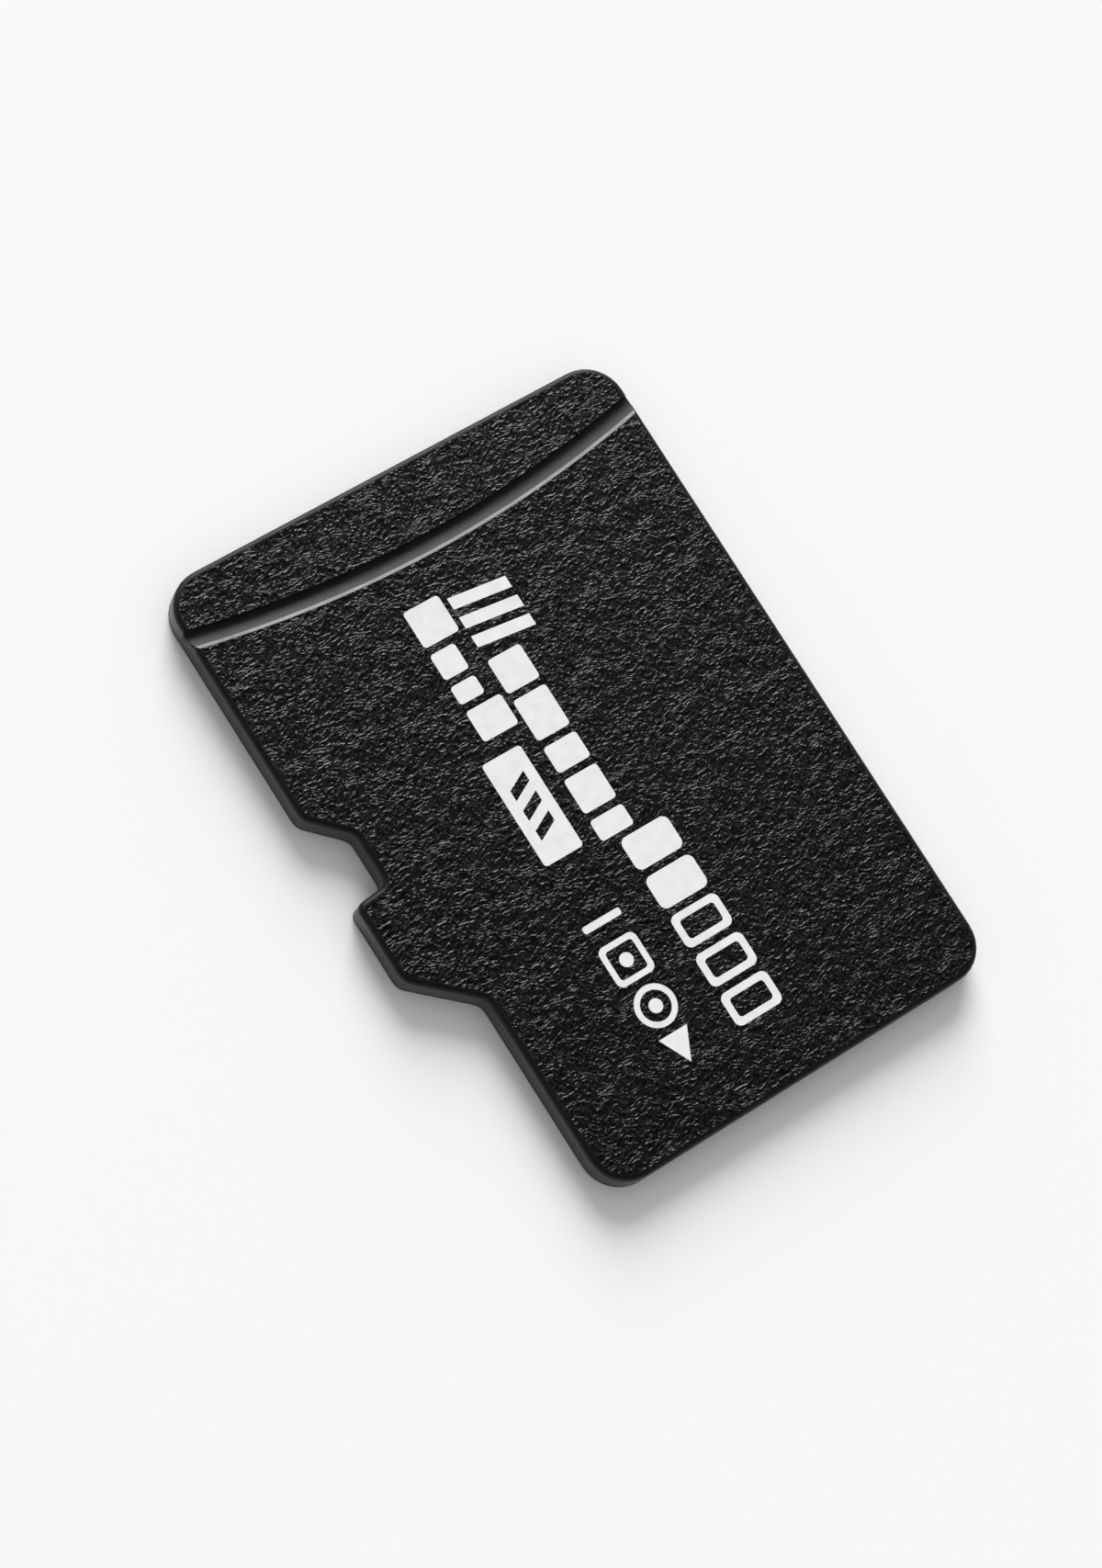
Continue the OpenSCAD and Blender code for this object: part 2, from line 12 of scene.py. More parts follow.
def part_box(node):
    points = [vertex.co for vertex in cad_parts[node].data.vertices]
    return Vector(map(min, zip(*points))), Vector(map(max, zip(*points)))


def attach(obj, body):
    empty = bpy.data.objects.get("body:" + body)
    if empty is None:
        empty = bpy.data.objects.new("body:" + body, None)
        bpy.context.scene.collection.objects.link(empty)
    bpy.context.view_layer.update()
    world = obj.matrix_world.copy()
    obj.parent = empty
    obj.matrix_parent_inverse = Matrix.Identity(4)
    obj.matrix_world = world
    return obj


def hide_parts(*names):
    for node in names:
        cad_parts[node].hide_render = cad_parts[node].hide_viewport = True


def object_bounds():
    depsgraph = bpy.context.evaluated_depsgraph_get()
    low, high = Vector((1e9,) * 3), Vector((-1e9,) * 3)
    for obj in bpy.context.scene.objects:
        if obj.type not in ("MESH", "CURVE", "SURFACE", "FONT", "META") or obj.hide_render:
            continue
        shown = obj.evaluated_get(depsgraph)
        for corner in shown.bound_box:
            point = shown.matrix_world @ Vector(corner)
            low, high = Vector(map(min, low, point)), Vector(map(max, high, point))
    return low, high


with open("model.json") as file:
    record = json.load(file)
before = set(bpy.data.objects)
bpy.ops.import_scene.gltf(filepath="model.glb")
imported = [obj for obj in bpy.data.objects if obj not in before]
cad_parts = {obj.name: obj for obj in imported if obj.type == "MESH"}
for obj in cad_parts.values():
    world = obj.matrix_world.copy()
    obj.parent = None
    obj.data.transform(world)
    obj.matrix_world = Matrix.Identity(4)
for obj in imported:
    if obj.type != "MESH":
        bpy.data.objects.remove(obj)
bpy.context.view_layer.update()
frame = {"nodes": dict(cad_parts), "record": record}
MM = 0.001

# The card's outline and sections, in millimetres, as the solids have them
CARD_W = 11.0
CARD_LEN = 15.0
TOP_Z = 0.7
FRONT_W = 9.7
CORNER_R = 0.85
SMALL_R = 0.4
LOCK_R = 0.2
NOTCH_Y = 5.45
NOTCH_DEPTH = 0.8
NOTCH_RAMP = 0.78
NOTCH_FLOOR = 1.17
LOCK_SLANT = 0.08
LAND_LEN = 1.77
SHOULDER_LEN = 1.15
RIM_R = 0.12
GROOVE_R = 26.5
GROOVE_Y = 1.56
GROOVE_DEPTH = 0.13
GROOVE_LEAN = 0.03
GROOVE_HOLLOW = 0.42
CREST_R = 0.05
CREST_W = 0.08
BEND_STEPS = 6
INK_T = 0.01
BASE_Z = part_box("mould_body")[0][2] / MM

# Mesh of the grained top
ARC_STEPS = 8
RIM_STEPS = 5
GRID = 0.048
RING_STEP = 0.06
GRID_GAP = 0.35 * GRID
ARC_OVERRUN = 1.02
INK_FADE = 0.04
INK_REACH = 0.2
RIM_SHARE = 0.8

# Grain, with depths and fades in millimetres and noise scales per millimetre
GRAIN_DEPTH = 0.010
GRAIN_FADE = 0.06
GRAIN_STRETCH = 0.8
BEND_SCALE = 2.1
BEND = 0.16
COARSE_SCALE = 5.6
FINE_SCALE = 10.5
COARSE_SHARE = 0.55
FINE_SHARE = 0.45
PATCH_SCALE = 0.9
PATCH_LEAST = 0.7
PATCH_MORE = 0.5
CREST_SLOPE = 2.4

# How near two values count as one, in millimetres
LEVEL_GAP = 1e-4
ON_LINE = 2e-3
MERGE_GAP = 1e-5

# Material slots of the moulding
GRAIN, WALLS, RIM, GROOVE = range(4)


def link_piece(mesh):
    """An object with its mesh's name, linked to the scene."""
    piece = bpy.data.objects.new(mesh.name, mesh)
    bpy.context.scene.collection.objects.link(piece)
    return piece


# Outline

def turn_left(v):
    return np.array([-v[1], v[0]])


def unit(v):
    return v / np.linalg.norm(v)


def corners():
    """Each corner of the outline with its radius, counter-clockwise from the grip end."""
    half_w, half_len = CARD_W / 2, CARD_LEN / 2
    front_x = FRONT_W - half_w
    notch_x = half_w - NOTCH_DEPTH
    ramp = NOTCH_Y - half_len
    floor = ramp + NOTCH_RAMP
    lock = floor + NOTCH_FLOOR
    land = lock + LOCK_SLANT
    shoulder = land + LAND_LEN
    return [
        ((-half_w, -half_len), CORNER_R), ((half_w, -half_len), CORNER_R),
        ((half_w, ramp), SMALL_R), ((notch_x, floor), SMALL_R),
        ((notch_x, lock), LOCK_R), ((half_w, land), LOCK_R),
        ((half_w, shoulder), SMALL_R), ((front_x, shoulder + SHOULDER_LEN), SMALL_R),
        ((front_x, half_len), CORNER_R), ((-half_w, half_len), CORNER_R),
    ]


def outline(inset):
    """Points of the rounded outline after each edge has moved inward."""
    points = []
    ring = corners()
    for i, (place, radius) in enumerate(ring):
        p = np.array(place)
        a = unit(p - np.array(ring[i - 1][0]))
        b = unit(np.array(ring[(i + 1) % len(ring)][0]) - p)
        bisector = turn_left(a) + turn_left(b)
        p = p + bisector * inset * 2 / (bisector @ bisector)
        side = np.sign(a[0] * b[1] - a[1] * b[0])
        r = radius - side * inset
        turn = math.acos(a @ b)
        start = p - a * r * math.tan(turn / 2)
        centre = start + turn_left(a) * r * side
        first = math.atan2(*(start - centre)[::-1])
        for k in range(ARC_STEPS + 1):
            t = first + side * turn * k / ARC_STEPS
            points.append(centre + r * np.array([math.cos(t), math.sin(t)]))
    return np.array(points)


def spaced(ring, step):
    """The same closed line with points no further apart than step."""
    out = []
    for a, b in zip(ring, np.roll(ring, -1, axis=0)):
        n = max(1, math.ceil(np.linalg.norm(b - a) / step))
        out += [a + (b - a) * k / n for k in range(n)]
    return np.array(out)


def edge_distance(points, ring):
    """Distance of each point from the closed line through ring, and whether it lies inside."""
    best = np.full(len(points), np.inf)
    inside = np.zeros(len(points), bool)
    for a, b in zip(ring, np.roll(ring, -1, axis=0)):
        ab = b - a
        t = np.clip(((points - a) @ ab) / (ab @ ab), 0, 1)
        best = np.minimum(best, np.linalg.norm(points - a - t[:, None] * ab, axis=1))
        crosses = (a[1] > points[:, 1]) != (b[1] > points[:, 1])
        if a[1] != b[1]:
            inside ^= crosses & (points[:, 0] < a[0] + (points[:, 1] - a[1]) * ab[0] / ab[1])
    return best, inside


# Groove

def groove_section():
    """Distance from the steep edge and depth at each bend of the groove's section."""
    crest = GROOVE_LEAN + GROOVE_HOLLOW
    slope = 2 * math.atan(GROOVE_DEPTH / GROOVE_HOLLOW)
    hollow_r = GROOVE_DEPTH / (1 - math.cos(slope)) - CREST_R
    turns = [slope * k / BEND_STEPS for k in range(BEND_STEPS + 1)]
    up = [
        (GROOVE_LEAN + hollow_r * math.sin(t), GROOVE_DEPTH - hollow_r * (1 - math.cos(t)))
        for t in turns
    ]
    over = [(crest - CREST_R * math.sin(t), CREST_R * (1 - math.cos(t))) for t in turns[-2::-2]]
    return [(0.0, 0.0), *up, *over]


def groove_offset(points):
    """How far each point lies past the groove's steep edge, towards the front."""
    centre = np.array([0, GROOVE_Y - CARD_LEN / 2 - GROOVE_R])
    return np.linalg.norm(points - centre, axis=1) - GROOVE_R


def groove_line(offset):
    """Points of one arc of the groove, out past both sides of the card."""
    r = GROOVE_R + offset
    reach = math.asin(CARD_W / 2 / r)
    n = math.ceil(CARD_W / RING_STEP)
    angles = math.pi / 2 + np.linspace(-reach, reach, n) * ARC_OVERRUN
    centre = np.array([0, GROOVE_Y - CARD_LEN / 2 - GROOVE_R])
    return centre + r * np.column_stack([np.cos(angles), np.sin(angles)])


def smooth_height(points, distance):
    """Height of the moulding's top without its grain."""
    in_rim = np.clip(RIM_R - distance, 0, RIM_R)
    rim = TOP_Z - RIM_R + np.sqrt(RIM_R ** 2 - in_rim ** 2)
    xs, depths = zip(*groove_section())
    groove = TOP_Z - np.interp(groove_offset(points), xs, depths, left=0, right=0)
    return np.minimum(rim, groove)


# Grain

def ridge(u, v, scale, seed):
    """A crest line, 1 along it and 0 away from it, where smooth noise changes sign."""
    return 1 - min(1, abs(noise.noise(Vector((u * scale, v * scale, seed)))) * CREST_SLOPE)


def grain_at(x, y):
    """Depth of the moulded grain at a point, from 0 on a ridge to 1 in a crease."""
    bend_x = noise.noise(Vector((x * BEND_SCALE, y * BEND_SCALE, 3.0))) * BEND
    bend_y = noise.noise(Vector((x * BEND_SCALE, y * BEND_SCALE, 9.0))) * BEND
    u, v = (x + bend_x) * GRAIN_STRETCH, y + bend_y
    coarse = ridge(u, v, COARSE_SCALE, 1.0)
    fine = ridge(u, v, FINE_SCALE, 5.0)
    patch = 0.5 + 0.5 * noise.noise(Vector((x * PATCH_SCALE, y * PATCH_SCALE, 17.0)))
    crease = 1 - COARSE_SHARE * coarse - FINE_SHARE * fine
    return min(1.0, crease * (PATCH_LEAST + PATCH_MORE * patch))


def ink_distance(points):
    """Distance of each point on the top from the nearest print, or infinity far from it."""
    out = np.full(len(points), np.inf)
    for name, node in frame["nodes"].items():
        if not name.startswith("print_"):
            continue
        low, high = (np.array(c)[:2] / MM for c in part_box(name))
        near = np.all((points > low - INK_REACH) & (points < high + INK_REACH), axis=1)
        mesh = node.data
        places = [v.co / MM for v in mesh.vertices]
        tree = BVHTree.FromPolygons(places, [p.vertices for p in mesh.polygons])
        for i in np.flatnonzero(near):
            at = Vector((*points[i], TOP_Z))
            hit = tree.ray_cast(at - Vector((0, 0, 1)), Vector((0, 0, 1)))[0]
            gap = 0.0 if hit else tree.find_nearest(at)[3]
            out[i] = min(out[i], gap)
    return out


def ramp(values, low, high):
    """From 0 at low to 1 at high, level at both ends."""
    t = np.clip((values - low) / (high - low), 0, 1)
    return t * t * (3 - 2 * t)


def groove_gap(points):
    """Distance of each point from the groove, 0 inside it."""
    offset = groove_offset(points)
    return np.maximum(np.maximum(-offset, offset - groove_section()[-1][0]), 0)


def grain_depth(points, distance):
    """How far the grain and the room for the ink sink below the smooth top, in millimetres."""
    ink_gap = ink_distance(points)
    amount = ramp(distance, RIM_R, RIM_R + GRAIN_FADE) * ramp(groove_gap(points), 0, GRAIN_FADE)
    amount *= ramp(ink_gap, 0, INK_FADE)
    out = np.where(ink_gap > 0, 0.0, INK_T)
    for i in np.flatnonzero(amount > 0):
        out[i] += amount[i] * GRAIN_DEPTH * grain_at(*points[i])
    return out


# Moulded body

def grid_points(rim):
    """Triangular grid inside the rim, clear of the groove's lines."""
    xs = np.arange(-CARD_W / 2, CARD_W / 2, GRID)
    ys = np.arange(-CARD_LEN / 2, CARD_LEN / 2, GRID * math.sqrt(3) / 2)
    x, y = np.meshgrid(xs, ys)
    x = x + np.where(np.arange(len(ys)) % 2, GRID / 2, 0)[:, None]
    points = np.column_stack([x.ravel(), y.ravel()])
    gap, inside = edge_distance(points, rim)
    keep = inside & (gap > GRID / 2)
    offset = groove_offset(points)
    for place, _ in groove_section():
        keep &= np.abs(offset - place) > GRID_GAP
    return points[keep]


def top_plan():
    """Flat triangles of the top, with edges along the rim's rings and the groove's bends."""
    points, edges = [], []

    def add(line, closed):
        first = len(points)
        points.extend(line)
        count = len(line) if closed else len(line) - 1
        edges.extend((first + k, first + (k + 1) % len(line)) for k in range(count))

    angles = [math.pi / 2 * k / RIM_STEPS for k in range(RIM_STEPS + 1)]
    for t in angles:
        add(spaced(outline(RIM_R * (1 - math.cos(t))), RING_STEP), True)
    for place, _ in groove_section():
        add(groove_line(place), False)
    points.extend(grid_points(outline(RIM_R)))
    coords = [Vector(p) for p in points]
    verts, _, faces = delaunay_2d_cdt(coords, edges, [], 0, MERGE_GAP, False)[:3]
    plan = np.array([(v[0], v[1]) for v in verts])
    faces = np.array(faces)
    middle = plan[faces].mean(axis=1)
    inside = edge_distance(middle, spaced(outline(0), RING_STEP))[1]
    used, faces = np.unique(faces[inside], return_inverse=True)
    return plan[used], faces.reshape(-1, 3)


def boundary(faces):
    """The vertices around the edge of a triangle mesh, in the order in which its faces turn."""
    pairs = np.concatenate([faces[:, [0, 1]], faces[:, [1, 2]], faces[:, [2, 0]]])
    known = set(map(tuple, pairs.tolist()))
    after = {a: b for a, b in known if (b, a) not in known}
    start = min(after)
    loop = [start]
    while after[loop[-1]] != start:
        loop.append(after[loop[-1]])
    return loop


def mould_piece():
    """The moulding with its grain: top, walls down to the laminate and a plain underside."""
    plan, faces = top_plan()
    turn = np.cross(plan[faces[:, 1]] - plan[faces[:, 0]], plan[faces[:, 2]] - plan[faces[:, 0]])
    faces[turn < 0] = faces[turn < 0][:, ::-1]
    distance = edge_distance(plan, outline(0))[0]
    z = smooth_height(plan, distance) - grain_depth(plan, distance)
    top = np.column_stack([plan, z])
    loop = boundary(faces)
    low = np.column_stack([plan[loop], np.full(len(loop), BASE_Z)])
    first = len(top)
    n = len(loop)
    walls = [(loop[k], first + k, first + (k + 1) % n, loop[(k + 1) % n]) for k in range(n)]
    under = tuple(first + k for k in range(n))[::-1]
    mesh = bpy.data.meshes.new("mould_grained")
    mesh.from_pydata(np.vstack([top, low]) * MM, [], [*map(tuple, faces.tolist()), *walls, under])
    mesh.validate()
    mark_materials(mesh, plan, faces, distance)
    mark_edges(mesh, plan, first)
    return link_piece(mesh)


def mark_materials(mesh, plan, faces, distance):
    """Grain on the flat top, a dull groove whose crest is finished like the walls, and the rim."""
    middle = plan[faces].mean(axis=1)
    offset = groove_offset(middle)
    width = groove_section()[-1][0]
    top = np.where(distance[faces].min(axis=1) > RIM_R * RIM_SHARE, GRAIN, RIM)
    top[(offset > 0) & (offset < width - CREST_W)] = GROOVE
    top[(offset >= width - CREST_W) & (offset < width)] = WALLS
    index = np.full(len(mesh.polygons), WALLS, np.int32)
    index[:len(faces)] = top
    mesh.polygons.foreach_set("material_index", index)


def mark_edges(mesh, plan, first):
    """Smooth shading, with sharp edges along the groove's bends and around the underside."""
    mesh.polygons.foreach_set("use_smooth", np.ones(len(mesh.polygons), bool))
    pairs = np.empty(len(mesh.edges) * 2, np.int32)
    mesh.edges.foreach_get("vertices", pairs)
    pairs = pairs.reshape(-1, 2)
    offset = np.full(len(mesh.vertices), np.nan)
    offset[:first] = groove_offset(plan)
    sharp = np.all(pairs >= first, axis=1)
    for place, _ in groove_section()[:2]:
        sharp |= np.all(np.abs(offset[pairs] - place) < ON_LINE, axis=1)
    mesh.attributes.new("sharp_edge", "BOOLEAN", "EDGE").data.foreach_set("value", sharp)


# Sheets below the moulding
# In the frame's mesh of these two nodes a folded pair of triangles crosses the notch's inner corner

SHEETS = {"laminate_sheet": "laminate_core", "mask_sheet": "contact_mask"}


def level_rings(walls, points, z):
    """The edges at one height that only one wall triangle has: the outlines of the flat face there."""
    pairs = np.concatenate([walls[:, [0, 1]], walls[:, [1, 2]], walls[:, [2, 0]]])
    pairs = pairs[np.all(np.abs(points[pairs][:, :, 2] - z) < LEVEL_GAP, axis=1)]
    known = set(map(tuple, pairs.tolist()))
    return [(a, b) for a, b in known if (b, a) not in known]


def lay_flat(points, rings):
    """Triangles of the flat face that these outlines enclose, facing away from the walls."""
    used = sorted({i for pair in rings for i in pair})
    place = {i: k for k, i in enumerate(used)}
    edges = [(place[a], place[b]) for a, b in rings]
    flat = [Vector(points[i][:2]) for i in used]
    verts, _, faces, origins = delaunay_2d_cdt(flat, edges, [], 0, MERGE_GAP, True)[:4]
    plan = np.array([tuple(v) for v in verts])
    faces = np.array(faces)
    middle = plan[faces].mean(axis=1)
    inside = np.zeros(len(faces), bool)
    for a, b in rings:
        (ax, ay), (bx, by) = points[a][:2], points[b][:2]
        if ay != by:
            crosses = (ay > middle[:, 1]) != (by > middle[:, 1])
            inside ^= crosses & (middle[:, 0] < ax + (middle[:, 1] - ay) * (bx - ax) / (by - ay))
    source = np.array([used[o[0]] for o in origins])
    faces = source[faces[inside]]
    directed = {(a, b) for f in faces.tolist() for a, b in zip(f, f[1:] + f[:1])}
    return faces[:, ::-1] if rings[0] in directed else faces


def sheet_piece(name, node_name):
    """A flat sheet of the solids whose two faces are laid again inside their own outlines."""
    mesh = frame["nodes"][node_name].data
    corners_mm = np.array([v.co for v in mesh.vertices]) / MM
    points, index = np.unique(np.round(corners_mm, 5), axis=0, return_inverse=True)
    faces = index.reshape(-1)[np.array([p.vertices for p in mesh.polygons])]
    spread = np.ptp(points[faces][:, :, 2], axis=1)
    walls = faces[spread > LEVEL_GAP]
    levels = np.unique(np.round(points[faces[spread <= LEVEL_GAP]][:, 0, 2], 3))
    flats = [lay_flat(points, level_rings(walls, points, z)) for z in levels]
    made = bpy.data.meshes.new(name)
    made.from_pydata(points * MM, [], np.vstack([walls, *flats]).tolist())
    made.validate()
    return link_piece(made)


# Materials, with sizes and depths in millimetres

NOISE_SPAN = (0.3, 0.7)
FOLD_SIZES = (0.15, 0.09)
FOLD_SHARES = (0.6, 0.4)
FOLD_WIDTH = 0.14
FOLD_STRETCH = (0.75, 1, 1)
FOLD_BEND = 0.5
FOLD_DEPTH = 0.016
GRIT_SIZE = 0.05
GRIT_SHARE = 0.18


class Nodes:
    """A material's node tree, with one call for each kind of node that the finishes use."""

    def __init__(self, name):
        self.material = bpy.data.materials.new(name)
        self.material.use_nodes = True
        self.tree = self.material.node_tree
        self.shader = self.tree.nodes["Principled BSDF"]
        self.place = self.add("ShaderNodeTexCoord").outputs["Object"]

    def add(self, kind, inputs=None, **settings):
        node = self.tree.nodes.new(kind)
        for key, value in settings.items():
            setattr(node, key, value)
        for key, value in (inputs or {}).items():
            if isinstance(value, bpy.types.NodeSocket):
                self.tree.links.new(value, node.inputs[key])
            else:
                node.inputs[key].default_value = value
        return node

    def set(self, key, value):
        if isinstance(value, bpy.types.NodeSocket):
            self.tree.links.new(value, self.shader.inputs[key])
        else:
            self.shader.inputs[key].default_value = value

    def stretched(self, x, y, z):
        """Object coordinates scaled by a factor along each axis."""
        return self.add("ShaderNodeMapping", {"Vector": self.place, "Scale": (x, y, z)}).outputs[0]

    def noise(self, size_mm, detail=2.0, vector=None, distortion=0.0):
        node = self.add("ShaderNodeTexNoise", {
            "Vector": vector or self.place, "Scale": 1 / (size_mm * MM),
            "Detail": detail, "Distortion": distortion})
        return node.outputs["Fac"]

    def remap(self, value, low, high, to_low, to_high):
        node = self.add("ShaderNodeMapRange", {
            "Value": value, "From Min": low, "From Max": high, "To Min": to_low, "To Max": to_high})
        return node.outputs["Result"]

    def spread(self, cloud, low, high):
        """The middle of a noise's range, stretched from low to high."""
        return self.remap(cloud, *NOISE_SPAN, low, high)

    def blend(self, fac, dark, light):
        node = self.add("ShaderNodeMix", data_type="RGBA")
        self.tree.links.new(fac, node.inputs["Factor"])
        node.inputs["A"].default_value = (*dark, 1)
        node.inputs["B"].default_value = (*light, 1)
        return node.outputs["Result"]

    def math(self, operation, a, b):
        return self.add("ShaderNodeMath", {0: a, 1: b}, operation=operation).outputs[0]

    def bump(self, height, depth_mm, strength=1.0):
        inputs = {"Height": height, "Distance": depth_mm * MM, "Strength": strength}
        return self.add("ShaderNodeBump", inputs).outputs["Normal"]


def grained_plastic():
    """Black moulding compound with a fine wrinkled grain, longest across the card."""
    m = Nodes("mould_grain")
    bend = m.math("MULTIPLY", m.noise(0.5, 2), FOLD_BEND * MM)
    across = m.stretched(*FOLD_STRETCH)
    warped = m.add("ShaderNodeVectorMath", {0: across, 1: bend}, operation="ADD").outputs[0]
    folds = []
    for size in FOLD_SIZES:
        centred = m.math("SUBTRACT", m.noise(size, 0, vector=warped), 0.5)
        folds.append(m.remap(m.math("ABSOLUTE", centred, 0), 0, FOLD_WIDTH, 1, 0))
    height = m.math("ADD", *(m.math("MULTIPLY", f, part) for f, part in zip(folds, FOLD_SHARES)))
    grit = m.noise(GRIT_SIZE, 1, vector=warped)
    height = m.math("ADD", height, m.math("MULTIPLY", grit, GRIT_SHARE))
    # Base colour follows the fine folds, darker in the creases and lighter on the ridges: painted shade
    # in the creases
    m.set("Base Color", m.blend(folds[1], (0.0015, 0.0015, 0.0016), (0.005, 0.005, 0.0053)))
    m.set("Roughness", m.spread(grit, 0.27, 0.38))
    m.set("Specular IOR Level", 0.42)
    m.set("Normal", m.bump(height, FOLD_DEPTH))
    return m.material


def smooth_plastic(name, rough, gloss, tone=1.0):
    """The same compound where the mould has no grain, its base colour tone times as light; a tone above
    1 is painted light that lifts shade.
    """
    m = Nodes(name)
    haze = m.noise(0.5, 3)
    dark = [c * tone for c in (0.004, 0.004, 0.0045)]
    light = [c * tone for c in (0.008, 0.008, 0.009)]
    m.set("Base Color", m.blend(haze, dark, light))
    m.set("Roughness", m.spread(haze, *rough))
    m.set("Specular IOR Level", gloss)
    m.set("Normal", m.bump(m.noise(0.04, 2), 0.002, 0.4))
    return m.material


def white_ink():
    """Screen ink, with a slight relief like that of the grain beside it."""
    m = Nodes("white_ink")
    mottle = m.noise(0.25, 3)
    m.set("Base Color", m.blend(m.spread(mottle, 0, 1), (0.8, 0.8, 0.79), (0.87, 0.87, 0.86)))
    m.set("Roughness", m.spread(mottle, 0.5, 0.6))
    m.set("Normal", m.bump(m.noise(0.16, 3, distortion=1.2), 0.006, 0.6))
    return m.material


def gold_plate():
    """Gold over nickel, with faint wipe marks along the card from its springs."""
    m = Nodes("gold_plate")
    wipe = m.noise(0.03, 3, vector=m.stretched(1, 0.02, 1))
    cloud = m.noise(0.8, 2)
    m.set("Metallic", 1.0)
    m.set("Base Color", m.blend(cloud, (0.78, 0.5, 0.2), (0.9, 0.65, 0.32)))
    m.set("Roughness", m.spread(wipe, 0.24, 0.36))
    m.set("Normal", m.bump(wipe, 0.0006, 0.5))
    return m.material


def mottled(name, dark, light, size_mm, rough=(0.4, 0.5), metallic=0.0, bump_mm=0.001):
    """A finish of two close tones in clouds of one size, with gloss and relief that follow them."""
    m = Nodes(name)
    cloud = m.noise(size_mm, 3)
    m.set("Metallic", metallic)
    m.set("Base Color", m.blend(m.spread(cloud, 0, 1), dark, light))
    m.set("Roughness", m.spread(cloud, *rough))
    m.set("Normal", m.bump(cloud, bump_mm, 0.5))
    return m.material


# Dark and light tone and the clouds' size in millimetres, then roughness, metallic and relief if set
MOTTLED = {
    "laminate": ((0.008, 0.008, 0.008), (0.02, 0.02, 0.018), 0.06, (0.45, 0.6), 0, 0.002),
    "contact_mask": ((0.006, 0.007, 0.0065), (0.012, 0.013, 0.012), 0.3, (0.28, 0.36)),
    "cover_mask": ((0.01, 0.11, 0.05), (0.02, 0.18, 0.09), 0.4, (0.25, 0.35)),
    "copper": ((0.62, 0.3, 0.16), (0.78, 0.42, 0.25), 0.2, (0.25, 0.4), 1.0),
    "silicon": ((0.16, 0.17, 0.2), (0.24, 0.25, 0.3), 0.9, (0.12, 0.2), 0.4),
    "film": ((0.6, 0.52, 0.34), (0.72, 0.64, 0.44), 0.5),
    "capacitor": ((0.36, 0.25, 0.16), (0.46, 0.34, 0.23), 0.1, (0.4, 0.5)),
    "resistor": ((0.015, 0.015, 0.02), (0.05, 0.05, 0.06), 0.1, (0.2, 0.3)),
    "tin": ((0.6, 0.6, 0.59), (0.72, 0.72, 0.71), 0.08, (0.25, 0.4), 1.0),
}


def finishes():
    """One material for each slot of the record."""
    made = {name: mottled(name, *values) for name, values in MOTTLED.items()}
    made["mould"] = smooth_plastic("mould_walls", rough=(0.32, 0.4), gloss=0.6)
    made["gold"] = gold_plate()
    made["ink"] = white_ink()
    return made


def slots():
    """The material slot of each node in the record."""
    return {part["node"]: part["material_slot"] for part in frame["record"]["subparts"]}


def dress_nodes(materials):
    """Gives each CAD node the finish of its slot."""
    for name, slot in slots().items():
        node = frame["nodes"][name]
        node.data.materials.clear()
        node.data.materials.append(materials[slot])


def dress_mould(materials):
    """Puts the grained moulding in place of the plain one, with a finish for each of its zones."""
    piece = mould_piece()
    piece.data.materials.append(grained_plastic())
    piece.data.materials.append(materials["mould"])
    piece.data.materials.append(smooth_plastic("mould_rim", rough=(0.46, 0.54), gloss=0.26))
    # The groove's base colour is three times as light: painted light that lifts the shade cast into the
    # groove
    piece.data.materials.append(smooth_plastic("mould_groove", rough=(0.34, 0.4), gloss=0.12, tone=3.0))
    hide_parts("mould_body")
    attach(piece, "root")


def dress_sheets(materials):
    """Puts the sheets with whole flat faces in place of the frame's."""
    for name, node_name in SHEETS.items():
        sheet = sheet_piece(name, node_name)
        slot = slots()[node_name]
        sheet.data.materials.append(materials[slot])
        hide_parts(node_name)
        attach(sheet, "root")


# Camera, with places, lens and film height in millimetres and its range of sight in metres

CAMERA_AT = (30.217, 9.312, 76.235)
CAMERA_AIM = (0.502, -0.227, 0.35)
CAMERA_UP = (-0.4653, -0.8372, 0.2875)
LENS = 93.095
FILM = 36.0
CLIP_NEAR = 0.002
CLIP_FAR = 20

# Light and floor, in metres and watts

HORIZON_LIGHT = 0.45
SIDE_LIGHT = 0.3
ZENITH_LIGHT = 0.006
HORIZON_FADE = (0.1, 0.5)
SIDE_FROM = (-0.75, -0.45, 0.48)
SIDE_FADE = (0.74, 0.96)
KEY_FROM = (-0.45, -0.85, 0.48)
KEY_AWAY = 3.0
KEY_SIZE = 2.0
KEY_POWER = 112
OVERHEAD_AWAY = 2.0
OVERHEAD_SIZE = 8.0
OVERHEAD_POWER = 78
FLOOR_SIZE = 3.0
FLOOR_WHITE = 0.95


def look(obj, place, aim, up=(0, 0, 1)):
    """Puts a camera or a lamp at a place, turned to a point, with up towards the picture's top."""
    place, aim = Vector(place), Vector(aim)
    back = (place - aim).normalized()
    right = Vector(up).cross(back).normalized()
    axes = Matrix((right, back.cross(right), back)).transposed()
    obj.matrix_world = Matrix.Translation(place) @ axes.to_4x4()


def make_camera():
    """The photo's camera, as worked out from the card's corners in it."""
    data = bpy.data.cameras.new("camera")
    data.sensor_fit = "VERTICAL"
    data.sensor_height = FILM
    data.lens = LENS
    data.clip_start = CLIP_NEAR
    data.clip_end = CLIP_FAR
    camera = bpy.data.objects.new("camera", data)
    bpy.context.scene.collection.objects.link(camera)
    look(camera, Vector(CAMERA_AT) * MM, Vector(CAMERA_AIM) * MM, CAMERA_UP)
    bpy.context.scene.camera = camera


def make_lamp(name, direction, away, size, power):
    """A soft round lamp that shines on the card from a direction."""
    data = bpy.data.lights.new(name, "AREA")
    data.shape = "DISK"
    data.size = size
    data.energy = power
    lamp = bpy.data.objects.new(name, data)
    bpy.context.scene.collection.objects.link(lamp)
    look(lamp, Vector(direction).normalized() * away, (0, 0, 0), (0, 1, 0))
    return lamp


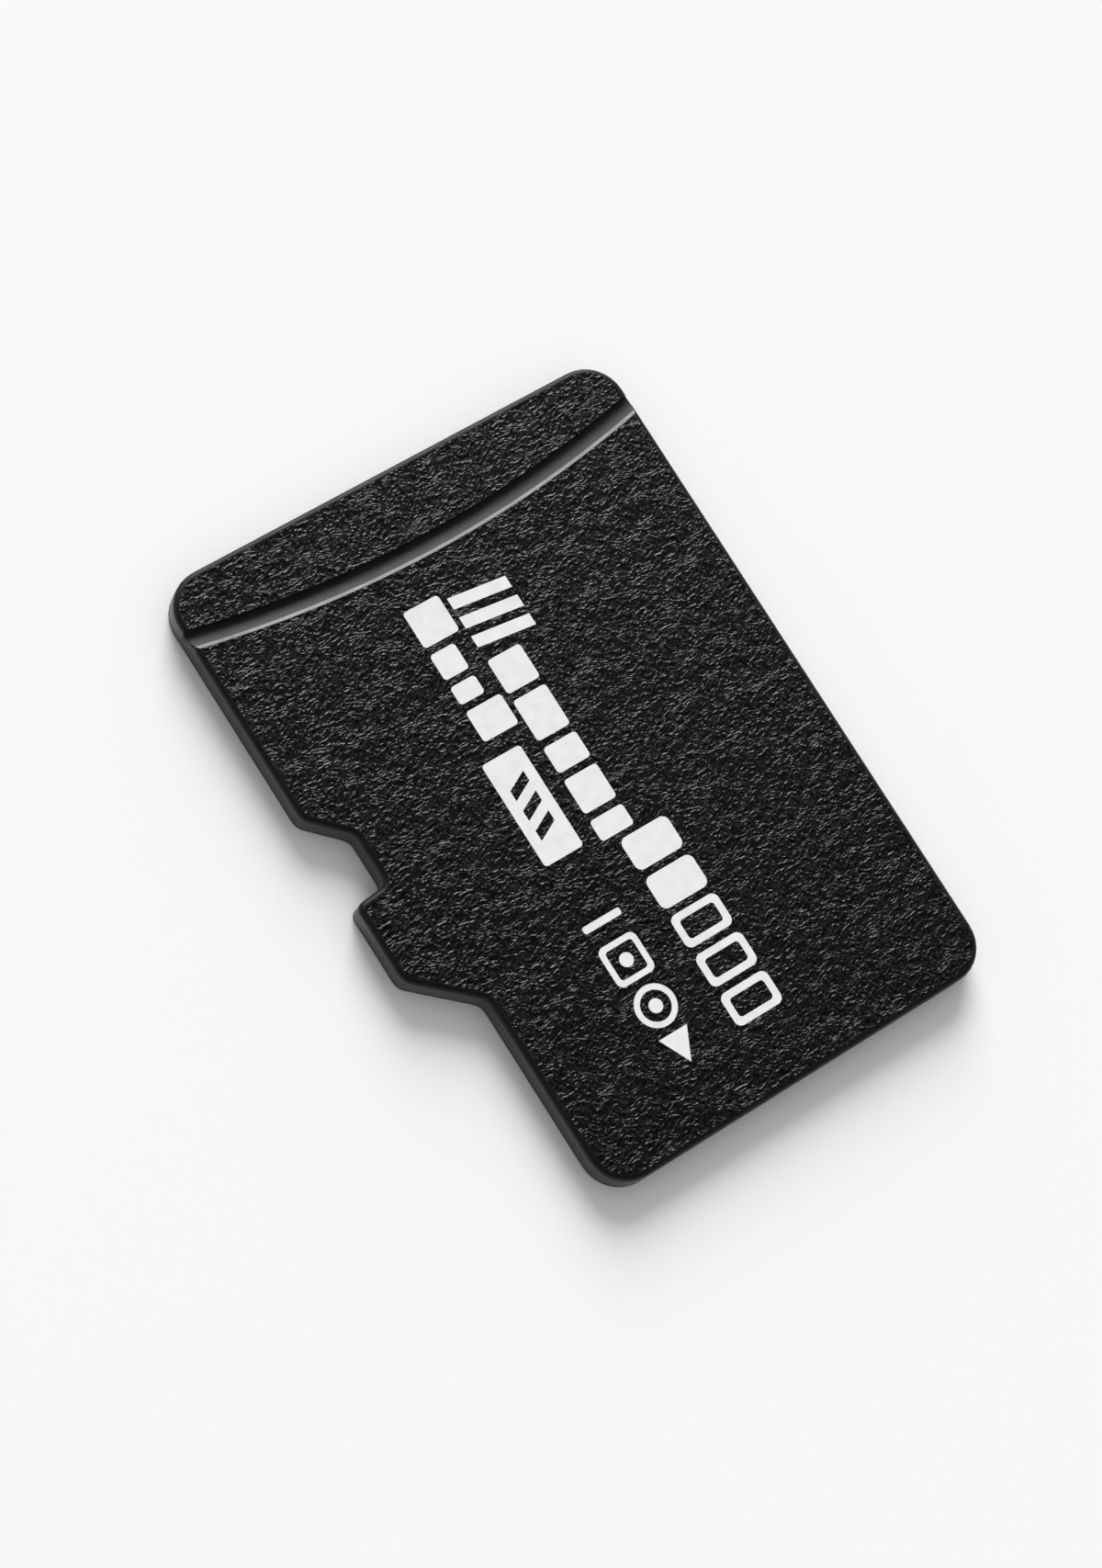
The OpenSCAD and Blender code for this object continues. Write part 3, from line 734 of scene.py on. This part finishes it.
def make_world():
    """Dark above so that the black top stays black, lighter at the horizon and most on one side."""
    world = bpy.data.worlds.new("studio")
    world.use_nodes = True
    tree = world.node_tree
    direction = tree.nodes.new("ShaderNodeTexCoord").outputs["Generated"]

    def fade(toward, span, low, high):
        """Light from low to high as the direction turns toward a vector."""
        along = tree.nodes.new("ShaderNodeVectorMath")
        along.operation = "DOT_PRODUCT"
        tree.links.new(direction, along.inputs[0])
        along.inputs[1].default_value = toward
        step = tree.nodes.new("ShaderNodeMapRange")
        step.interpolation_type = "SMOOTHSTEP"
        tree.links.new(along.outputs["Value"], step.inputs["Value"])
        for key, value in zip(("From Min", "From Max", "To Min", "To Max"), (*span, low, high)):
            step.inputs[key].default_value = value
        return step.outputs["Result"]

    total = tree.nodes.new("ShaderNodeMath")
    total.operation = "ADD"
    tree.links.new(fade((0, 0, 1), HORIZON_FADE, HORIZON_LIGHT, ZENITH_LIGHT), total.inputs[0])
    tree.links.new(fade(SIDE_FROM, SIDE_FADE, 0, SIDE_LIGHT), total.inputs[1])
    tree.links.new(total.outputs[0], tree.nodes["Background"].inputs["Strength"])
    tree.nodes["Background"].inputs["Color"].default_value = (1, 1, 1, 1)
    bpy.context.scene.world = world


def make_floor():
    """Pale seamless floor under the card."""
    half = FLOOR_SIZE / 2
    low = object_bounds()[0][2]
    mesh = bpy.data.meshes.new("floor")
    ends = ((-half, -half), (half, -half), (half, half), (-half, half))
    mesh.from_pydata([(x, y, low) for x, y in ends], [], [(0, 1, 2, 3)])
    m = Nodes("floor_white")
    tone = m.noise(40, 2)
    m.set("Base Color", m.blend(tone, (FLOOR_WHITE - 0.01,) * 3, (FLOOR_WHITE + 0.01,) * 3))
    m.set("Roughness", 0.9)
    m.set("Specular IOR Level", 0.0)
    mesh.materials.append(m.material)
    floor = link_piece(mesh)


def main():
    make_camera()
    make_world()
    make_lamp("key", KEY_FROM, KEY_AWAY, KEY_SIZE, KEY_POWER)
    overhead = make_lamp("overhead", (0, 0, 1), OVERHEAD_AWAY, OVERHEAD_SIZE, OVERHEAD_POWER)
    # Kept out of reflections: it softens the floor's shadow and leaves the black top black
    overhead.visible_glossy = False
    make_floor()
    materials = finishes()
    dress_nodes(materials)
    dress_mould(materials)
    dress_sheets(materials)
    bpy.context.scene.view_settings.view_transform = "Standard"


main()
